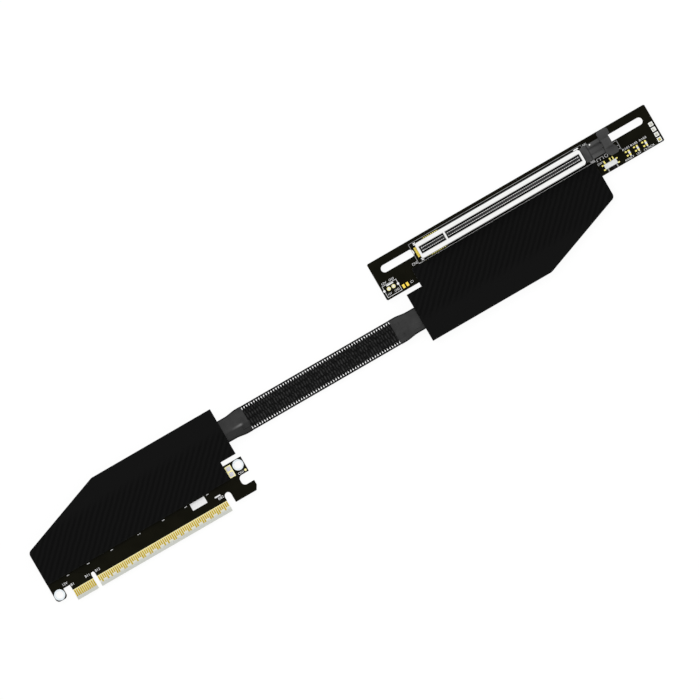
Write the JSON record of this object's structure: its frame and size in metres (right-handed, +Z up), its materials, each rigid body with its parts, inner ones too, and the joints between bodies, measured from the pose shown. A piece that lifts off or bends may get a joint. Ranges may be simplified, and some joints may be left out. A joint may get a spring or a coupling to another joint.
{
  "type": "pcie extension cable",
  "caption": "Flat extension cable joining a keyed card-edge board to a card slot board, each board half held in a dark cloth cover; the slot has a tilting card latch and a slide switch.",
  "frame": {"origin": "centre of the outline of the cable laid flat, on the plane that the covers rest on; the cable's axis is at Y = 0", "axes": "+X along the cable from the card-edge board to the slot board, +Y towards the slot board's far edge, +Z up out of the card slot"},
  "size_m": [0.3582, 0.0688, 0.0173],
  "materials": {
    "solder_mask": "black solder mask, satin",
    "gold_plate": "gold plating",
    "tin": "bright solder",
    "cover_cloth": "woven black cloth with a faint twill",
    "heat_shrink": "satin heat-shrink",
    "braid": "woven filaments",
    "ribbon_jacket": "dark film",
    "white_plastic": "satin white",
    "grey_plastic": "moulded grey",
    "black_plastic": "moulded black",
    "switch_metal": "bright stamped sheet",
    "chip_ceramic": "glazed black"
  },
  "bodies": {
    "base": {"edge_board": "solder_mask", "edge_fingers_upper": "gold_plate", "edge_fingers_lower": "gold_plate", "edge_hole_rings": "tin", "edge_lands": "gold_plate", "edge_land_solder": "tin", "edge_cover_upper": "cover_cloth", "edge_cover_lower": "cover_cloth", "edge_boot": "heat_shrink", "braided_sleeve": "braid", "slot_boot": "heat_shrink", "slot_cover_upper": "cover_cloth", "slot_cover_lower": "cover_cloth", "slot_board": "solder_mask", "slot_housing": "white_plastic", "slot_contacts_far": "gold_plate", "slot_contacts_near": "gold_plate", "slot_solder_tab": "gold_plate", "latch_bracket": "grey_plastic", "latch_bracket_pin": "white_plastic", "switch_frame": "switch_metal", "switch_base": "black_plastic", "switch_terminals": "gold_plate", "chip_caps": "gold_plate", "header_rings": "gold_plate", "capacitor_lands": "gold_plate", "end_lands": "tin", "end_solder": "tin", "power_ribbon": "ribbon_jacket", "signal_ribbon_upper_1": "ribbon_jacket", "signal_ribbon_upper_2": "ribbon_jacket", "signal_ribbon_upper_3": "ribbon_jacket", "signal_ribbon_upper_4": "ribbon_jacket", "signal_ribbon_lower_1": "ribbon_jacket", "signal_ribbon_lower_2": "ribbon_jacket", "signal_ribbon_lower_3": "ribbon_jacket", "signal_ribbon_lower_4": "ribbon_jacket", "lamp_1": "white_plastic", "resistor_1": "chip_ceramic", "lamp_2": "white_plastic", "resistor_2": "chip_ceramic", "lamp_3": "white_plastic", "resistor_3": "chip_ceramic"},
    "latch": {"latch_lever": "grey_plastic"},
    "slider": {"switch_knob": "black_plastic"}
  },
  "joints": [
    {"name": "latch_tilt", "type": "hinge", "parent": "base", "child": "latch", "pos_m": [0.15357, 0.0276, 0.00704], "axis": [0, 1, 0], "range_deg": [0, 20]},
    {"name": "switch_slide", "type": "slide", "parent": "base", "child": "slider", "axis": [1, 0, 0], "range_m": [-0.0015, 0]}
  ]
}
